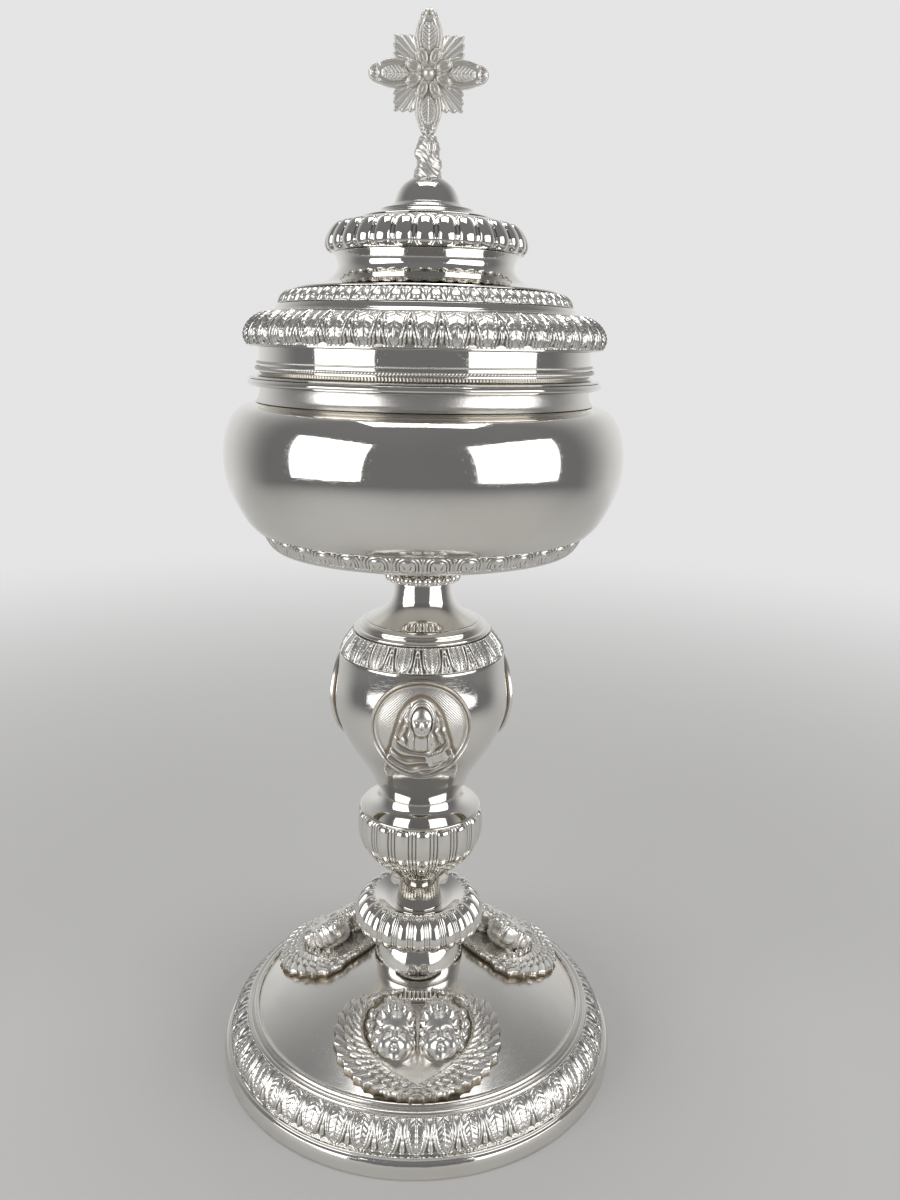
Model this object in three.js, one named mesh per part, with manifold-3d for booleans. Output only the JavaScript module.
// A silver ciborium: a covered cup on a stem and a round foot, with gadrooned knops, leaf borders,
// paired cherub heads on the foot, three medallions on the vase knop and a flowered cross on the lid.
// Millimetres, +Z up. The origin is the centre of the foot on the table, and azimuth 0 faces -Y.
import * as THREE from "three";
import { mergeVertices } from "three/addons/utils/BufferGeometryUtils.js";
import Module from "manifold-3d";

const wasm = await Module();
wasm.setup();

// Heights of the seats, from the table up
const RIM_TOP = 6;
const BORDER_TOP = 13.5; // the foot's leaf border ends under its ring mouldings
const DISH_BASE = 38.5;
const SAUCER_FLOOR = 46.9;
const CUP_BASE = 57.9;
const CUP_RIM = 78.9;
const VASE_TOP = 127.6;
const SHOULDER_BASE = 134;
const SHOULDER_TOP = 137.4;
const FLARE_TOP = 148.4;
const BEAD_TOP = 151.5;
const BOWL_BASE = 153.4;
const CALYX_EDGE = 160;
const BOWL_TOP = 197.9;
const NECK_TOP = 202.2;
const SEAM = 204; // the lid rests on the bowl's rim here
const LIP_TOP = 210;
const COLLAR_TOP = 212;
const SOFFIT_TOP = 212.6;
const STEP_SEAT = 222.8;
const SCOTIA_BASE = 226.2;
const SCOTIA_TOP = 235.9;
const GADROON_TOP = 244.6;
const CAP_TOP = 254.5;
const KNOT_TOP = 264.6;
const CROSS_CENTRE = 279.1;

// Radii
const FOOT_RADIUS = 60.4;
const DISH_RADIUS = 19.8;
const CUP_RADIUS = 18.9;
const BOWL_RADIUS = 54.15;
const LIP_RADIUS = 42.2; // the bowl's mouth
const COLLAR_RADIUS = 44.2;
const ROD_RADIUS = 3;
const STUD_RADIUS = 1.5; // of the finial's threaded stud
const CLEARANCE = 0.3; // round rods, and under what is soldered on
const BORE = ROD_RADIUS + CLEARANCE;
const STUD_BORE = STUD_RADIUS + CLEARANCE;

// Repeated ornament
const LID_GADROONS = 30;
const CUP_GADROONS = 18;
const DISH_GADROONS = 24;
const BEADS = 22;

// Degrees round the foot of its mounts, and round the vase knop of its medallions
const MOUNT_AZIMUTHS = { front: 0, right: 127, left: -127 };
const MEDALLION_AZIMUTHS = { front: 0, right: 120, left: -120 };

// Facets round the axis
const WIDE = 24;
const NARROW = 18;

const radians = THREE.MathUtils.degToRad;

// A point at a radius and height, at an azimuth in radians measured from -Y towards +X.
const place = (radius, height, azimuth) =>
  new THREE.Vector3(radius * Math.sin(azimuth), -radius * Math.cos(azimuth), height);

const flat = (points) => points.map(([x, y]) => new THREE.Vector2(x, y));

// An outline in the plane of radius and height: straight runs, and smooth curves through a few points.
class Outline {
  constructor(radius, height) {
    this.points = flat([[radius, height]]);
  }
  line(radius, height) {
    this.points.push(...flat([[radius, height]]));
    return this;
  }
  curve(steps, ...through) {
    return this.along(new THREE.SplineCurve([this.points.at(-1), ...flat(through)]), steps);
  }
  along(curve, steps) {
    for (let k = 1; k <= steps; k++) this.points.push(curve.getPointAt(k / steps));
    return this;
  }
}

const outline = (radius, height) => new Outline(radius, height);

// Turns an anticlockwise outline, closed on itself or ending on the axis, round the Z axis.
function turned(shape, facets = WIDE) {
  const points = [...shape.points];
  if (points[0].x !== 0) points.push(points[0].clone());
  return new THREE.LatheGeometry(points, facets).rotateX(Math.PI / 2);
}

// A turned ring whose outer face stands out in gadroons, which are lobes between sharp grooves. The face
// goes up and the back comes down. The lobes rise by depth along the face's normal, and run from the
// face's foot to the share end of its length. The phases are the sections of a lobe, 0 at its middle.
const ROUND_LOBE = [-0.3, 0.3, 0.5];
const KEELED_LOBE = [0, 0.5];
function gadrooned({ face, back, count, depth, end, phases = ROUND_LOBE }) {
  const outer = face.points;
  const lengths = [0];
  for (let k = 1; k < outer.length; k++) lengths.push(lengths[k - 1] + outer[k].distanceTo(outer[k - 1]));
  const positions = [];
  for (let section = 0; section < count * phases.length; section++) {
    const phase = phases[section % phases.length];
    const azimuth = ((Math.floor(section / phases.length) + phase) * 2 * Math.PI) / count;
    const crest = depth * Math.sqrt(1 - (2 * phase) ** 2);
    outer.forEach((point, k) => {
      const before = outer[Math.max(0, k - 1)];
      const after = outer[Math.min(outer.length - 1, k + 1)];
      const along = after.clone().sub(before).normalize();
      const share = Math.min(1, lengths[k] / lengths.at(-1) / end);
      const rise = crest * Math.sqrt(Math.abs(Math.sin(Math.PI * share)));
      positions.push(place(point.x + along.y * rise, point.y - along.x * rise, azimuth));
    });
    back.points.forEach((point) => positions.push(place(point.x, point.y, azimuth)));
  }
  return loopedSurface(positions, count * phases.length, outer.length + back.points.length);
}

// The closed surface through sections that go once round the axis, each an anticlockwise loop.
function loopedSurface(positions, sections, size) {
  const index = [];
  const at = (section, k) => (section % sections) * size + (k % size);
  for (let section = 0; section < sections; section++) {
    for (let k = 0; k < size; k++) {
      index.push(at(section, k), at(section + 1, k), at(section + 1, k + 1));
      index.push(at(section, k), at(section + 1, k + 1), at(section, k + 1));
    }
  }
  return new THREE.BufferGeometry().setFromPoints(positions).setIndex(index);
}

// The closed surface from a pole through rings of equal length to a second pole. The rings run
// anticlockwise as seen from the first pole's side.
function ringedSurface(firstPole, rings, lastPole) {
  const size = rings[0].length;
  const last = 1 + rings.length * size;
  const index = [];
  const at = (ring, k) => 1 + ring * size + (k % size);
  for (let k = 0; k < size; k++) {
    index.push(0, at(0, k), at(0, k + 1));
    for (let ring = 0; ring + 1 < rings.length; ring++) {
      index.push(at(ring, k), at(ring + 1, k), at(ring + 1, k + 1));
      index.push(at(ring, k), at(ring + 1, k + 1), at(ring, k + 1));
    }
    index.push(last, at(rings.length - 1, k + 1), at(rings.length - 1, k));
  }
  return new THREE.BufferGeometry().setFromPoints([firstPole, ...rings.flat(), lastPole]).setIndex(index);
}

// The geometry as a manifold-3d solid, and back.
function solidOf(geometry) {
  const bare = new THREE.BufferGeometry();
  bare.setAttribute("position", geometry.getAttribute("position").clone());
  if (geometry.index) bare.setIndex(geometry.index.clone());
  const merged = mergeVertices(bare, 1e-4);
  return new wasm.Manifold(
    new wasm.Mesh({
      numProp: 3,
      vertProperties: merged.getAttribute("position").array,
      triVerts: new Uint32Array(merged.index.array),
    }),
  );
}

function geometryOf(solid) {
  const mesh = solid.getMesh();
  return new THREE.BufferGeometry()
    .setAttribute("position", new THREE.BufferAttribute(new Float32Array(mesh.vertProperties), 3))
    .setIndex(new THREE.BufferAttribute(new Uint32Array(mesh.triVerts), 1));
}

const joined = (pieces) => geometryOf(pieces.map(solidOf).reduce((sum, piece) => sum.add(piece)));
const cut = (body, tools) =>
  geometryOf(tools.map(solidOf).reduce((rest, tool) => rest.subtract(tool), solidOf(body)));

// Moves every point of a geometry to where a function puts it.
function reshaped(geometry, move) {
  const position = geometry.getAttribute("position");
  for (let k = 0; k < position.count; k++) {
    const point = move(new THREE.Vector3().fromBufferAttribute(position, k));
    position.setXYZ(k, ...point);
  }
  return geometry;
}

// A cylinder, a flat ring and a nut with a round bore, between two heights each, and a ball with its own
// half-widths.
const post = (radius, base, top, facets) =>
  new THREE.CylinderGeometry(radius, radius, top - base, facets)
    .rotateX(Math.PI / 2)
    .translate(0, 0, (base + top) / 2);
const ring = (inner, outer, base, top, facets) =>
  turned(outline(inner, base).line(outer, base).line(outer, top).line(inner, top), facets);
const hexNut = (bore, radius, base, top) =>
  cut(post(radius, base, top, 6), [post(bore, base - 1, top + 1, 8)]);
const ball = (halves, centre, facets) =>
  new THREE.SphereGeometry(1, facets, facets - 1).scale(...halves).translate(...centre);

// Foot. Its domed plate is part of a sphere, through the plate's edge and its top.

const DOME_EDGE = { radius: 49.2, height: 15.1 };
const DOME_TOP = { radius: 13, height: 24.9 };
const DOME_CENTRE =
  (DOME_TOP.radius ** 2 + DOME_TOP.height ** 2 - DOME_EDGE.radius ** 2 - DOME_EDGE.height ** 2) /
  (2 * (DOME_TOP.height - DOME_EDGE.height));
const DOME_RADIUS = Math.hypot(DOME_EDGE.radius, DOME_EDGE.height - DOME_CENTRE);
const MOULDING_TOP = 15.8; // of the ring round the plate, which the mounts' lowest feathers lie over
const PLATE_WALL = 1.3;
const domeHeight = (radius) => DOME_CENTRE + Math.sqrt(DOME_RADIUS ** 2 - radius ** 2);
const BOSS_SEAT = 13.2;
const BOSS_BASE = domeHeight(BOSS_SEAT);
const WASHER_TOP = domeHeight(9.5) - PLATE_WALL;

const footRim = () =>
  turned(
    outline(56.2, 4.8)
      .line(57.6, 0)
      .line(FOOT_RADIUS - 0.3, 0)
      .line(FOOT_RADIUS, 2.6)
      .line(FOOT_RADIUS - 0.5, 5)
      .line(58.9, RIM_TOP)
      .line(56.2, RIM_TOP),
  );

// The spun shell: a flange on the rim, the backing of the leaf border, two ring mouldings and the
// domed plate, with a hole for the tie rod.
function footShell() {
  const under = (radius) => [radius, domeHeight(radius) - PLATE_WALL];
  const shell = outline(BORE, WASHER_TOP)
    .line(9.5, WASHER_TOP)
    .curve(2, under(30), under(48))
    .line(53.4, 11)
    .line(55.4, RIM_TOP)
    .line(57, RIM_TOP)
    .curve(2, [55.7, 10], [52.2, BORDER_TOP])
    .line(52.8, BORDER_TOP)
    .line(52.3, 14.9)
    .line(51.2, 14.7)
    .line(50.5, MOULDING_TOP)
    .line(DOME_EDGE.radius, DOME_EDGE.height)
    .curve(3, [30, domeHeight(30)], [BOSS_SEAT, BOSS_BASE])
    .line(BORE, BOSS_BASE);
  return turned(shell);
}

const footLeafBorder = () =>
  turned(
    outline(57.3, RIM_TOP)
      .line(58.3, RIM_TOP)
      .curve(3, [56.6, 10.8], [52.8, BORDER_TOP])
      .line(52.5, BORDER_TOP)
      .line(56, 10.3),
  );

const baseBoss = () =>
  turned(
    outline(8, BOSS_BASE)
      .line(BOSS_SEAT, BOSS_BASE)
      .curve(4, [13.6, 27.5], [13, 32], [10.6, DISH_BASE])
      .line(8, DISH_BASE),
    NARROW,
  );

// Two putto heads side by side within a pair of wings that meet below their chins, cast in one piece
// and soldered to the plate. It is shaped flat, with the foot's axis towards +Y, and laid on the dome;
// its lowest feathers lie over the ring round the plate.
const MOUNT_CENTRE = -33;
const WING_EDGE = [
  [0, -17],
  [-11, -17],
  [-20, -18.5],
  [-23.6, -25],
  [-24, -32],
  [-21, -39],
  [-15.5, -45.4],
  [0, -51.2],
];
const WING_RINGS = [
  { share: 0.55, height: 1.5 },
  { share: 0.84, height: 3.4 },
  { share: 1, height: 1.8 },
  { share: 1, height: CLEARANCE },
  { share: 0.5, height: CLEARANCE },
];
const FEATHER_TIPS = 9;

function mountWings() {
  const otherSide = WING_EDGE.slice(1, -1).reverse();
  const edge = new THREE.SplineCurve(
    flat([...WING_EDGE, ...otherSide.map(([x, y]) => [-x, y]), WING_EDGE[0]]),
  ).getSpacedPoints(2 * FEATHER_TIPS);
  const rings = WING_RINGS.map(({ share, height }) =>
    edge.slice(0, -1).map(({ x, y }, k) => {
      const reach = k % 2 && share === 1 ? 0.95 : share;
      return new THREE.Vector3(x * reach, MOUNT_CENTRE + (y - MOUNT_CENTRE) * reach, height);
    }),
  );
  const pole = (height) => new THREE.Vector3(0, MOUNT_CENTRE, height);
  return ringedSurface(pole(1.5), rings, pole(CLEARANCE));
}

function cherubMount(azimuth) {
  const heads = [-1, 1].flatMap((side) => [
    ball([5.6, 8.4, 4.5], [side * 6, -33.5, 5], 6),
    ball([3.3, 3.4, 3.1], [side * 6, -41, 4.8], 4),
    ball([5.4, 3.6, 3], [side * 7, -24, 3.6], 4),
  ]);
  const seat = (x, y) => Math.max(domeHeight(Math.hypot(x, y)), MOULDING_TOP);
  const laid = [mountWings(), ...heads].map((piece) =>
    reshaped(piece, ({ x, y, z }) => [x, y, z + seat(x, y)]),
  );
  return joined(laid).rotateZ(radians(azimuth));
}

// Stem

const gadroonDish = () =>
  gadrooned({
    face: outline(10.5, DISH_BASE)
      .curve(4, [16.8, 39.6], [DISH_RADIUS - 0.8, 42.6], [17.8, 47.2], [14, 49.9]),
    back: outline(8.6, SAUCER_FLOOR).line(BORE, SAUCER_FLOOR).line(BORE, DISH_BASE),
    count: DISH_GADROONS,
    depth: 0.9,
    end: 1,
    phases: KEELED_LOBE,
  });

const stemNeck = () =>
  turned(
    outline(BORE, SAUCER_FLOOR)
      .line(7.2, SAUCER_FLOOR)
      .curve(3, [6.4, 50], [6.3, 54.5], [7.4, CUP_BASE])
      .line(BORE, CUP_BASE),
    NARROW,
  );

const gadroonCup = () =>
  gadrooned({
    face: outline(7.4, CUP_BASE)
      .curve(4, [13, 62.8], [16.5, 67.4], [CUP_RADIUS - 0.8, 73.5], [17.9, CUP_RIM]),
    back: outline(16.4, CUP_RIM).line(8, 60.4).line(BORE, 60.4).line(BORE, CUP_BASE),
    count: CUP_GADROONS,
    depth: 0.9,
    end: 0.97,
  });

// The vase knop is an open shell, from the flare on the cup's rim to the seat of its leaf border.
const VASE_FACE = new THREE.SplineCurve(
  flat([
    [12, 83.9],
    [15.6, 92],
    [20.1, 99],
    [23, 104.7],
    [25.1, 113],
    [24.3, 120.8],
    [23.6, VASE_TOP],
  ]),
);

const vaseKnop = () =>
  turned(
    outline(16, CUP_RIM)
      .line(17.9, CUP_RIM)
      .line(17.6, 79.8)
      .line(12.9, 81)
      .line(12, 83.9)
      .along(VASE_FACE, 6)
      .line(22.3, VASE_TOP)
      .curve(3, [23.8, 112.9], [17.6, 97.4], [10.7, 83.9])
      .line(11.6, 80.4),
    NARROW,
  );

// A framed round medallion with a half-length veiled figure in low relief. It is shaped flat and bent
// to the vase, so that its height runs along the vase's face and its width round it. It is straighter
// than the vase, and its foot stands off. Then the vase is cut out of its back.
const MEDALLION = { radius: 14.4, faceShare: 0.675, standOff: 2, facets: 14 };
const MEDALLION_RINGS = [
  { radius: 4.5, rise: 1 },
  { radius: 11, rise: 1 },
  { radius: 13, rise: 1.7 },
  { radius: MEDALLION.radius, rise: 1.3 },
  { radius: MEDALLION.radius, rise: -0.6 },
];

function figureRise(x, y) {
  const veil = 1 - (x / 5) ** 2 - ((y - 2) / 6) ** 2;
  const shoulders = 1 - (x / 9.5) ** 2 - ((y + 8) / 6.5) ** 2;
  return 1.4 * Math.sqrt(Math.max(0, veil, shoulders));
}

function medallion(azimuth) {
  const onVase = (x, y, rise) => {
    const share = MEDALLION.faceShare + y / VASE_FACE.getLength();
    const surface = VASE_FACE.getPointAt(share);
    const along = VASE_FACE.getTangentAt(share);
    return place(surface.x + along.y * rise, surface.y - along.x * rise, x / surface.x);
  };
  const rings = MEDALLION_RINGS.map(({ radius, rise }) =>
    Array.from({ length: MEDALLION.facets }, (_, k) => {
      const x = radius * Math.cos((2 * Math.PI * k) / MEDALLION.facets);
      const y = radius * Math.sin((2 * Math.PI * k) / MEDALLION.facets);
      const lean = rise > 0 ? MEDALLION.standOff * (Math.min(0, y) / MEDALLION.radius) ** 2 : 0;
      return onVase(x, y, rise + lean + (radius < 12 ? figureRise(x, y) : 0));
    }),
  );
  const disc = ringedSurface(onVase(0, 0, 1 + figureRise(0, 0)), rings, onVase(0, 0, -7));
  const vase = outline(0, 80).line(12 + CLEARANCE, 80);
  for (let k = 0; k <= 6; k++) {
    const face = VASE_FACE.getPointAt(k / 6);
    vase.line(face.x + CLEARANCE, face.y);
  }
  vase.line(0, VASE_TOP);
  return cut(disc, [turned(vase, NARROW)]).rotateZ(radians(azimuth));
}

const knopLeafBorder = () =>
  turned(
    outline(22.3, VASE_TOP)
      .line(23.7, VASE_TOP)
      .curve(2, [22.6, 130.8], [19.9, SHOULDER_BASE])
      .line(18.2, SHOULDER_BASE),
    NARROW,
  );

// The stepped disc that closes the vase under the flared neck.
const knopShoulder = () =>
  turned(
    outline(BORE, SHOULDER_BASE)
      .line(19.6, SHOULDER_BASE)
      .line(19.3, 135.4)
      .line(17.8, 135.6)
      .line(17.6, 136.9)
      .line(16.6, SHOULDER_TOP)
      .line(BORE, SHOULDER_TOP),
    NARROW,
  );

const stemFlare = () =>
  turned(
    outline(14.6, SHOULDER_TOP)
      .line(16.1, SHOULDER_TOP)
      .curve(4, [11.6, 139.9], [8.9, 143.4], [8.1, FLARE_TOP])
      .line(5.4, FLARE_TOP)
      .line(6.6, 143),
    NARROW,
  );

// Round beads on a flat collar.
function beadRing() {
  const middle = (FLARE_TOP + BEAD_TOP) / 2;
  const beads = Array.from({ length: BEADS }, (_, n) =>
    new THREE.OctahedronGeometry(1.4).translate(...place(9.6, middle, ((n + 0.5) * 2 * Math.PI) / BEADS)),
  );
  return joined([ring(BORE, 8.9, FLARE_TOP, BEAD_TOP, 12), ...beads]);
}

// The tie rod screws into the bowl's stud, and its nut under the foot pulls the whole stem together.
const ROD_BASE = 14.6;
const ROD_TOP = 147;
const WASHER_BASE = WASHER_TOP - 1.2;

const tieRod = () => post(ROD_RADIUS, ROD_BASE, ROD_TOP, 12);
const rodWasher = () => ring(BORE, 8.6, WASHER_BASE, WASHER_TOP, 12);
const rodNut = () => hexNut(BORE + 0.1, 5.8, WASHER_BASE - 5, WASHER_BASE);

// Bowl

const bowlStud = () =>
  turned(
    outline(0, ROD_TOP)
      .line(BORE, ROD_TOP)
      .line(BORE, 140)
      .line(4.6, 140)
      .line(4.6, FLARE_TOP - 1)
      .line(2.9, FLARE_TOP)
      .line(2.9, BOWL_BASE)
      .line(0, BOWL_BASE),
    12,
  );

// The calyx is a shallow dish that carries the bowl.
const bowlCalyx = () =>
  turned(
    outline(BORE, BEAD_TOP)
      .line(11, BEAD_TOP)
      .line(42, 159.3)
      .line(42.4, CALYX_EDGE)
      .line(40.6, CALYX_EDGE)
      .line(11, BEAD_TOP + 1)
      .line(9, BOWL_BASE)
      .line(BORE, BOWL_BASE),
  );

const bowlArchBorder = () =>
  turned(
    outline(41.4, CALYX_EDGE).line(42.5, CALYX_EDGE).line(43.9, 161.9).line(45, 164.1).line(44.1, 164.1),
  );

const bowl = () =>
  turned(
    outline(0, BOWL_BASE)
      .line(8.9, BOWL_BASE)
      .line(40.2, 160.9)
      .line(43.5, 164.5)
      .line(45.8, 164.6)
      .curve(5, [51.8, 172.6], [BOWL_RADIUS, 183.4], [51.6, 193.9], [45.6, BOWL_TOP])
      .line(43.2, BOWL_TOP)
      .curve(4, [50.6, 193.4], [BOWL_RADIUS - 1, 183.4], [50.8, 173], [42.6, 165.4])
      .line(8.9, BOWL_BASE + 1)
      .line(0, BOWL_BASE + 1),
  );

const bowlNeck = () =>
  turned(
    outline(42.8, BOWL_TOP)
      .line(45.2, BOWL_TOP)
      .line(44.2, 200)
      .line(43.9, NECK_TOP)
      .line(42.8, NECK_TOP),
  );

// The rim is a flange that the lid rests on, with a lip inside it that keeps the lid central.
const bowlRim = () =>
  turned(
    outline(LIP_RADIUS, NECK_TOP)
      .line(46.9, NECK_TOP)
      .line(47.3, 203.1)
      .line(46.8, SEAM)
      .line(LIP_RADIUS + 0.8, SEAM)
      .line(LIP_RADIUS + 0.8, LIP_TOP)
      .line(LIP_RADIUS, LIP_TOP),
  );

// Lid

const lidCollar = () =>
  turned(
    outline(COLLAR_RADIUS - 0.9, SEAM)
      .line(46.7, SEAM)
      .line(46.7, 204.6)
      .line(44.5, 205)
      .line(COLLAR_RADIUS, 205.6)
      .line(COLLAR_RADIUS, COLLAR_TOP)
      .line(COLLAR_RADIUS - 0.9, COLLAR_TOP),
  );

// A round wire soldered to the collar.
const collarWire = (radius, height) =>
  new THREE.TorusGeometry(COLLAR_RADIUS + 0.1 + radius, radius, 4, WIDE).translate(0, 0, height);

const lidBody = () =>
  turned(
    outline(COLLAR_RADIUS - 0.9, COLLAR_TOP)
      .line(46.9, COLLAR_TOP)
      .line(46.9, SOFFIT_TOP)
      .line(45.4, SOFFIT_TOP)
      .curve(2, [45.6, 214.4], [44.7, 216.6], [42.2, 218.6])
      .line(42.1, 220.7)
      .line(39.8, 221.5)
      .line(39.1, STEP_SEAT)
      .line(38, STEP_SEAT)
      .line(34.4, 225.8)
      .line(34.4, SCOTIA_BASE)
      .line(33.3, SCOTIA_BASE)
      .line(33.3, 225.3)
      .line(38.2, 221)
      .line(41.1, 219.8)
      .line(41.3, 217.9)
      .line(44.6, 214.6)
      .line(44.2, 212.9),
  );

const lidLeafBorder = () =>
  turned(
    outline(46.2, SOFFIT_TOP)
      .line(46.9, SOFFIT_TOP)
      .curve(3, [47.9, 214.6], [46.9, 217.5], [42.5, 220.3])
      .line(42.5, 219.3)
      .line(45.7, 217.3),
  );

const lidStrokeBorder = () =>
  turned(
    outline(38.1, STEP_SEAT)
      .line(38.9, STEP_SEAT)
      .line(38.5, 224.2)
      .line(35.6, 226.3)
      .line(35, 226.3)
      .line(38.1, 223.4),
  );

const lidScotia = () =>
  turned(
    outline(32.6, SCOTIA_BASE)
      .line(34.6, SCOTIA_BASE)
      .line(34.5, 226.9)
      .line(29, 227.7)
      .curve(3, [24.6, 229.6], [23.1, 232.6], [24.5, SCOTIA_TOP])
      .line(22.4, SCOTIA_TOP)
      .line(22, 232.6)
      .line(24, 228.9),
    NARROW,
  );

const lidGadroonRing = () =>
  gadrooned({
    face: outline(25.2, SCOTIA_TOP).curve(4, [25.8, 237.6], [24.9, 240.5], [22, 243], [16.9, GADROON_TOP]),
    back: outline(15.6, GADROON_TOP).line(22.4, SCOTIA_TOP),
    count: LID_GADROONS,
    depth: 0.9,
    end: 0.56,
    phases: KEELED_LOBE,
  });

const CAP_FLOOR = 252.9; // inside, where the finial's washer seats
const WASHER_FLOOR = CAP_FLOOR - 0.8;

const lidCap = () =>
  turned(
    outline(15.2, GADROON_TOP)
      .line(16.9, GADROON_TOP)
      .line(12.2, 246.4)
      .line(12, 247)
      .line(8.6, 248.4)
      .curve(3, [7.2, 250.7], [5.9, 252.4], [3.9, CAP_TOP])
      .line(STUD_BORE, CAP_TOP)
      .line(STUD_BORE, CAP_FLOOR)
      .line(3.6, CAP_FLOOR)
      .line(7, 248.5),
    NARROW,
  );

// The finial's stud goes up into the knot, and is held by a washer and a nut inside the cap.
const STUD_TOP = 260.6;
const finialStud = () => post(STUD_RADIUS, 248.6, STUD_TOP, 8);
const finialWasher = () => ring(STUD_BORE, 3.3, WASHER_FLOOR, CAP_FLOOR, 8);
const finialNut = () => hexNut(STUD_BORE, 3.1, WASHER_FLOOR - 2.4, WASHER_FLOOR);

// The cast knot under the cross: a waisted core, an open loop at its front and lumps round it.
function finialKnot() {
  const core = turned(
    outline(0, CAP_TOP)
      .line(3.5, CAP_TOP)
      .line(3.3, 256)
      .curve(3, [2.6, 258], [2.9, 261], [2, KNOT_TOP])
      .line(0, KNOT_TOP),
    10,
  );
  const loop = new THREE.TorusGeometry(1.1, 0.55, 4, 8).rotateX(Math.PI / 2).translate(0.5, -2.5, 262);
  const lumps = [
    [-2.2, -0.8, 260.4],
    [2.3, -0.6, 258.2],
    [-1.6, -1.4, 257.2],
    [0.6, 2, 259.4],
  ].map((centre) => ball([1.25, 1.25, 1.25], centre, 4));
  return cut(joined([core, loop, ...lumps]), [post(STUD_BORE, CAP_TOP - 1, STUD_TOP, 10)]);
}

// A cross of four leaves in the XZ plane, with fluted fans between them and a boss in the middle, alike
// on both faces. The fans are the corners of a square. The lower leaf stands on the knot. It is shaped
// lying down, with its top towards +Y.
const CROSS_REACH = { up: 14.9, aside: 15.1, down: CROSS_CENTRE - KNOT_TOP };
const CROSS_FLUTES = [
  { aside: -14, reach: 10.9 },
  { aside: 0, reach: 12.5 },
  { aside: 14, reach: 10.9 },
];
const BEVEL = { bevelThickness: 0.5, bevelSize: 0.35, bevelOffset: -0.35, bevelSegments: 1 };

function crossLeaf(reach, tip) {
  const leaf = new THREE.Shape()
    .moveTo(-1.4, 1.5)
    .splineThru(flat([[-3.1, reach * 0.4], [-3.5, reach * 0.6], [-2.7, reach * 0.8], [-tip, reach]]))
    .lineTo(tip, reach)
    .splineThru(flat([[2.7, reach * 0.8], [3.5, reach * 0.6], [3.1, reach * 0.4], [1.4, 1.5]]));
  return new THREE.ExtrudeGeometry(leaf, { depth: 1, curveSegments: 1, ...BEVEL }).translate(0, 0, -0.5);
}

function crossFinial() {
  const leaves = [
    crossLeaf(CROSS_REACH.up, 1.2),
    crossLeaf(CROSS_REACH.aside, 1.2).rotateZ(Math.PI / 2),
    crossLeaf(CROSS_REACH.down, 1.8).rotateZ(Math.PI),
    crossLeaf(CROSS_REACH.aside, 1.2).rotateZ(-Math.PI / 2),
  ];
  const flutes = [45, 135, 225, 315].flatMap((diagonal) =>
    CROSS_FLUTES.map(({ aside, reach }) =>
      new THREE.CylinderGeometry(1.6, 0.6, reach - 4, 4)
        .scale(1, 1, 0.6)
        .translate(0, (reach + 4) / 2, 0)
        .rotateZ(radians(diagonal + aside)),
    ),
  );
  const boss = ball([3.8, 3.8, 2.3], [0, 0, 0], 6);
  return joined([...leaves, ...flutes, boss])
    .rotateX(Math.PI / 2)
    .translate(0, 0, CROSS_CENTRE);
}

// The finishes: polished and frosted silver, and the steel of the rods.
const FINISHES = {
  polished: { color: 0xd2cfc8, metalness: 1, roughness: 0.12 },
  frosted: { color: 0xb9b5ab, metalness: 1, roughness: 0.42 },
  steel: { color: 0x8d8f90, metalness: 1, roughness: 0.35 },
};

function group(finishedPieces) {
  const made = new THREE.Group();
  for (const [finish, pieces] of Object.entries(finishedPieces)) {
    for (const [name, geometry] of Object.entries(pieces)) {
      const mesh = new THREE.Mesh(geometry, new THREE.MeshStandardMaterial(FINISHES[finish]));
      mesh.name = name;
      made.add(mesh);
    }
  }
  return made;
}

const entries = (azimuths, name, make) =>
  Object.fromEntries(Object.entries(azimuths).map(([side, azimuth]) => [`${name}_${side}`, make(azimuth)]));

const foot = group({
  polished: { foot_rim: footRim(), foot_shell: footShell(), base_boss: baseBoss() },
  frosted: { foot_leaf_border: footLeafBorder(), ...entries(MOUNT_AZIMUTHS, "cherub_mount", cherubMount) },
});

const stem = group({
  polished: {
    gadroon_dish: gadroonDish(),
    stem_neck: stemNeck(),
    gadroon_cup: gadroonCup(),
    vase_knop: vaseKnop(),
    knop_shoulder: knopShoulder(),
    stem_flare: stemFlare(),
    bead_ring: beadRing(),
  },
  frosted: { knop_leaf_border: knopLeafBorder(), ...entries(MEDALLION_AZIMUTHS, "medallion", medallion) },
  steel: { tie_rod: tieRod(), rod_washer: rodWasher(), rod_nut: rodNut() },
});

const bowlGroup = group({
  polished: { bowl: bowl(), bowl_calyx: bowlCalyx(), bowl_rim: bowlRim() },
  frosted: { bowl_neck: bowlNeck(), bowl_arch_border: bowlArchBorder() },
  steel: { bowl_stud: bowlStud() },
});

const lid = group({
  polished: {
    lid_collar: lidCollar(),
    lid_body: lidBody(),
    lid_scotia: lidScotia(),
    lid_gadroon_ring: lidGadroonRing(),
    lid_cap: lidCap(),
  },
  frosted: {
    lower_collar_wire: collarWire(0.5, 206.6),
    upper_collar_wire: collarWire(0.3, 208),
    lid_leaf_border: lidLeafBorder(),
    lid_stroke_border: lidStrokeBorder(),
    finial_knot: finialKnot(),
    cross_finial: crossFinial(),
  },
  steel: { finial_stud: finialStud(), finial_washer: finialWasher(), finial_nut: finialNut() },
});

const ciborium = new THREE.Group();
ciborium.add(foot, stem, bowlGroup, lid);

export default ciborium;
